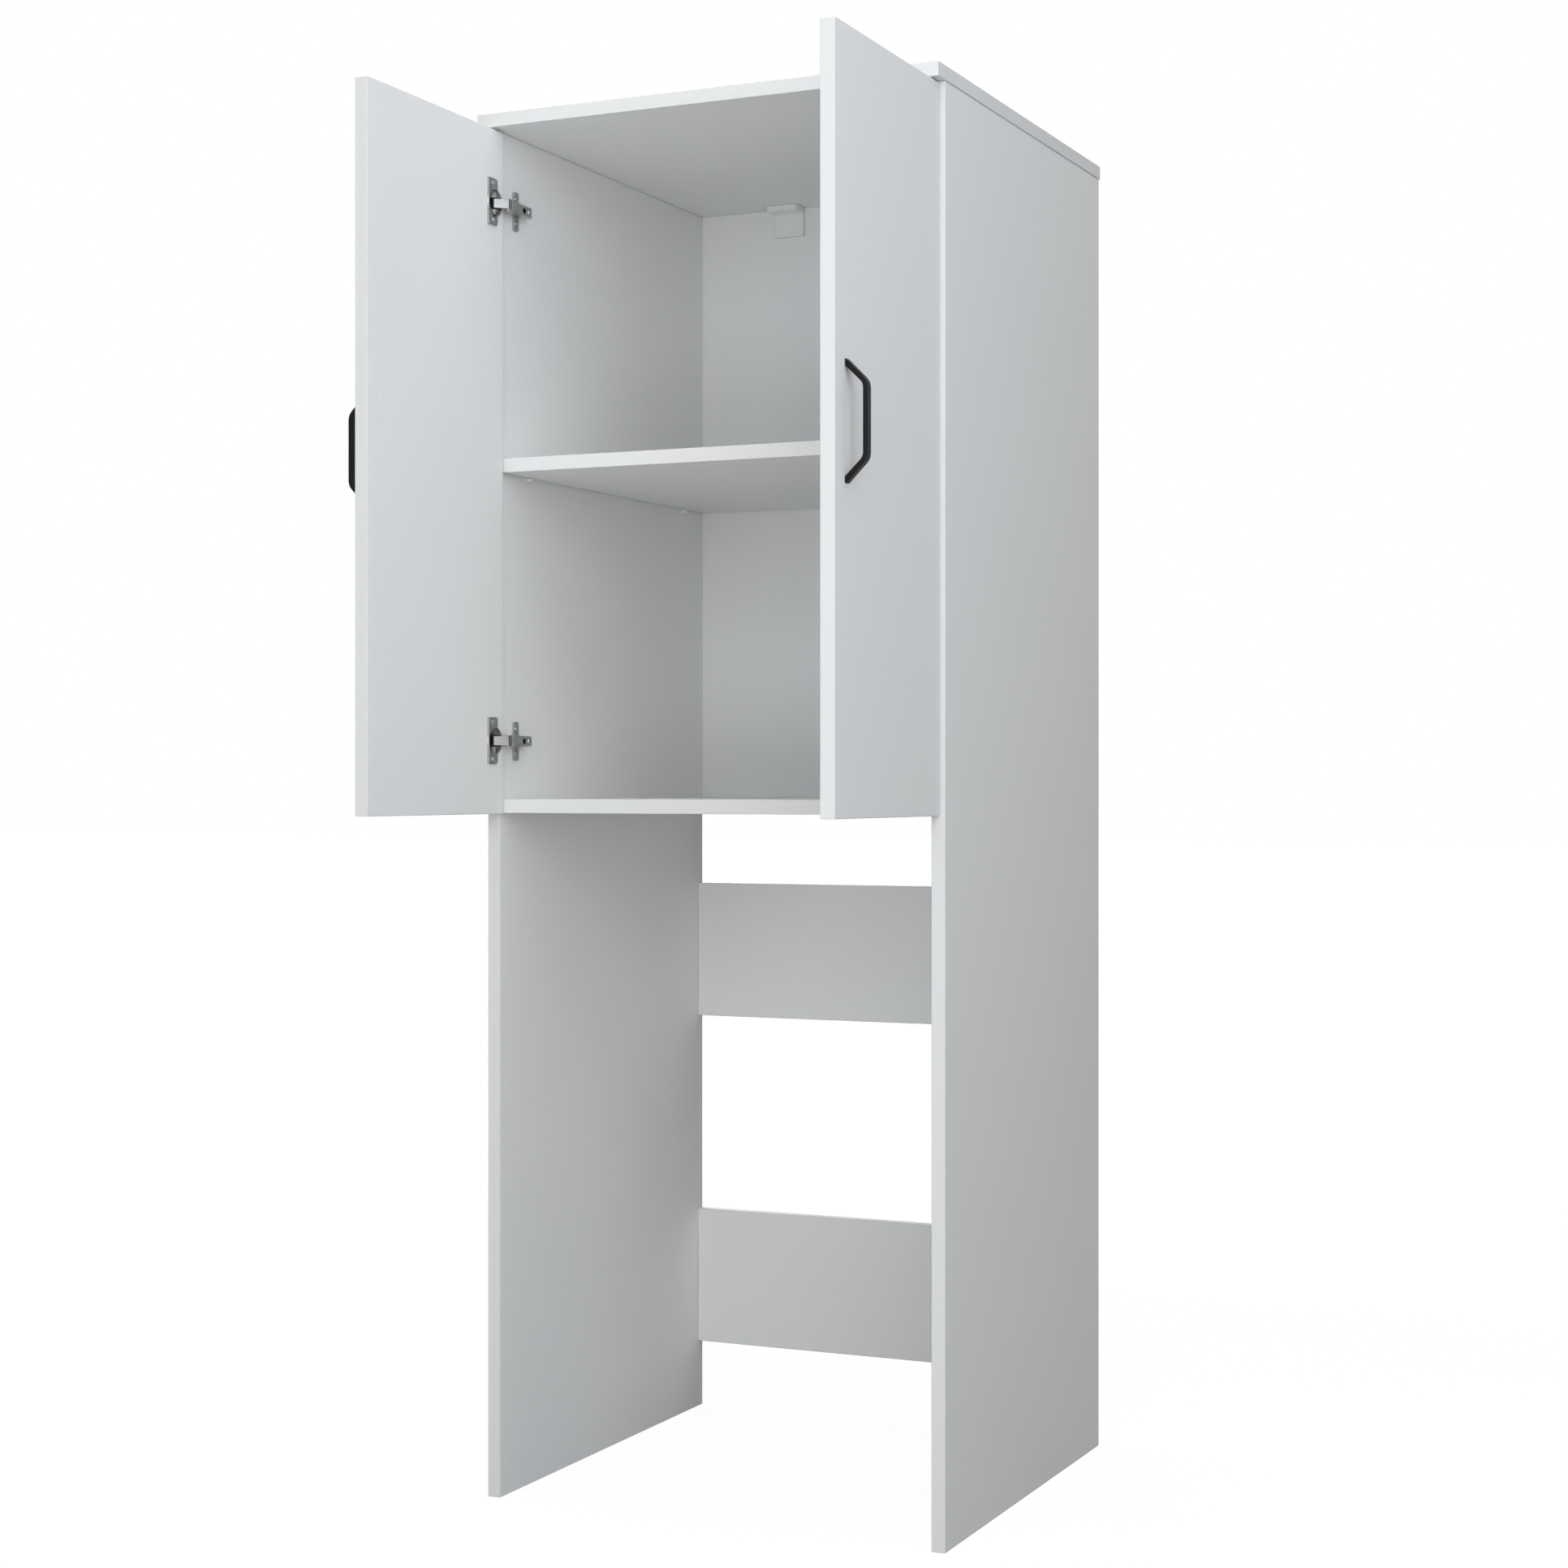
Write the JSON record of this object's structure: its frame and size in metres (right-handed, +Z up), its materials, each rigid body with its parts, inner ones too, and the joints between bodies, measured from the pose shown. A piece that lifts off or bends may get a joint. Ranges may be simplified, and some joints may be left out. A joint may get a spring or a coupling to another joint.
{
  "type": "washing machine cabinet",
  "caption": "Tall white cabinet that stands over a washing machine: open bay below, hinged doors with bow handles and a shelf above.",
  "frame": {"origin": "middle of the outline on the floor, with the doors standing open", "axes": "+Z up, +X to the right seen from the front, +Y to the back"},
  "size_m": [0.6836, 0.9183, 1.8],
  "materials": {
    "white_board": "satin white melamine on particle board",
    "white_hardboard": "matt white lacquered hardboard",
    "nickel_plate": "nickel plated pressed steel",
    "bright_nickel": "bright nickel plate",
    "cast_zinc": "die cast zinc, nickel plated",
    "black_lacquer": "satin black lacquer",
    "beech": "bare beech",
    "white_plastic": "white moulded plastic"
  },
  "bodies": {
    "cabinet": {"back_panel": "white_hardboard", "cabinet_floor": "white_board", "left_corner_bracket": "white_plastic", "left_floor_cam_front": "cast_zinc", "left_floor_cam_rear": "cast_zinc", "left_lower_hinge_arm": "nickel_plate", "left_lower_hinge_mounting_plate": "cast_zinc", "left_lower_rail_cam": "cast_zinc", "left_lower_rail_dowel": "beech", "left_shelf_pin_front": "white_plastic", "left_shelf_pin_rear": "white_plastic", "left_side_panel": "white_board", "left_top_dowel_front": "beech", "left_top_dowel_rear": "beech", "left_upper_hinge_arm": "nickel_plate", "left_upper_hinge_mounting_plate": "cast_zinc", "left_upper_rail_cam": "cast_zinc", "left_upper_rail_dowel": "beech", "lower_back_rail": "white_board", "right_corner_bracket": "white_plastic", "right_floor_cam_front": "cast_zinc", "right_floor_cam_rear": "cast_zinc", "right_lower_hinge_arm": "nickel_plate", "right_lower_hinge_mounting_plate": "cast_zinc", "right_lower_rail_cam": "cast_zinc", "right_lower_rail_dowel": "beech", "right_shelf_pin_front": "white_plastic", "right_shelf_pin_rear": "white_plastic", "right_side_panel": "white_board", "right_top_dowel_front": "beech", "right_top_dowel_rear": "beech", "right_upper_hinge_arm": "nickel_plate", "right_upper_hinge_mounting_plate": "cast_zinc", "right_upper_rail_cam": "cast_zinc", "right_upper_rail_dowel": "beech", "shelf": "white_board", "top_board": "white_board", "upper_back_rail": "white_board"},
    "left_inner_links": {"left_lower_hinge_inner_link": "nickel_plate", "left_upper_hinge_inner_link": "nickel_plate"},
    "left_outer_links": {"left_lower_hinge_outer_link": "bright_nickel", "left_upper_hinge_outer_link": "bright_nickel"},
    "left_door": {"left_door": "white_board", "left_handle": "black_lacquer", "left_handle_screw_lower": "nickel_plate", "left_handle_screw_upper": "nickel_plate", "left_lower_hinge_cup": "nickel_plate", "left_upper_hinge_cup": "nickel_plate"},
    "right_inner_links": {"right_lower_hinge_inner_link": "nickel_plate", "right_upper_hinge_inner_link": "nickel_plate"},
    "right_outer_links": {"right_lower_hinge_outer_link": "bright_nickel", "right_upper_hinge_outer_link": "bright_nickel"},
    "right_door": {"right_door": "white_board", "right_handle": "black_lacquer", "right_handle_screw_lower": "nickel_plate", "right_handle_screw_upper": "nickel_plate", "right_lower_hinge_cup": "nickel_plate", "right_upper_hinge_cup": "nickel_plate"}
  },
  "joints": [
    {"name": "left_inner_link_pivot", "type": "hinge", "parent": "cabinet", "child": "left_inner_links", "pos_m": [-0.2897, -0.13433, 1.3354], "axis": [0, 0, 1], "range_deg": [-43.3, 2.5]},
    {"name": "left_door_hinge", "type": "hinge", "parent": "left_inner_links", "child": "left_door", "pos_m": [-0.29707, -0.15288, 1.3354], "axis": [0, 0, 1], "range_deg": [-7.39, 133.16]},
    {"name": "left_outer_link_pivot", "type": "hinge", "parent": "cabinet", "child": "left_outer_links", "pos_m": [-0.28535, -0.14715, 1.3354], "axis": [0, 0, 1], "range_deg": [-30.9, 1.8]},
    {"name": "right_inner_link_pivot", "type": "hinge", "parent": "cabinet", "child": "right_inner_links", "pos_m": [0.2897, -0.13433, 1.3354], "axis": [0, 0, -1], "range_deg": [-43.3, 2.5]},
    {"name": "right_door_hinge", "type": "hinge", "parent": "right_inner_links", "child": "right_door", "pos_m": [0.29707, -0.15288, 1.3354], "axis": [0, 0, -1], "range_deg": [-7.39, 133.16]},
    {"name": "right_outer_link_pivot", "type": "hinge", "parent": "cabinet", "child": "right_outer_links", "pos_m": [0.28535, -0.14715, 1.3354], "axis": [0, 0, -1], "range_deg": [-30.9, 1.8]}
  ],
  "couplings": [
    {"joint": "left_inner_link_pivot", "follows": "left_door_hinge", "ratio": -0.32416},
    {"joint": "left_outer_link_pivot", "follows": "left_door_hinge", "ratio": -0.23127},
    {"joint": "right_inner_link_pivot", "follows": "right_door_hinge", "ratio": -0.32416},
    {"joint": "right_outer_link_pivot", "follows": "right_door_hinge", "ratio": -0.23127}
  ]
}
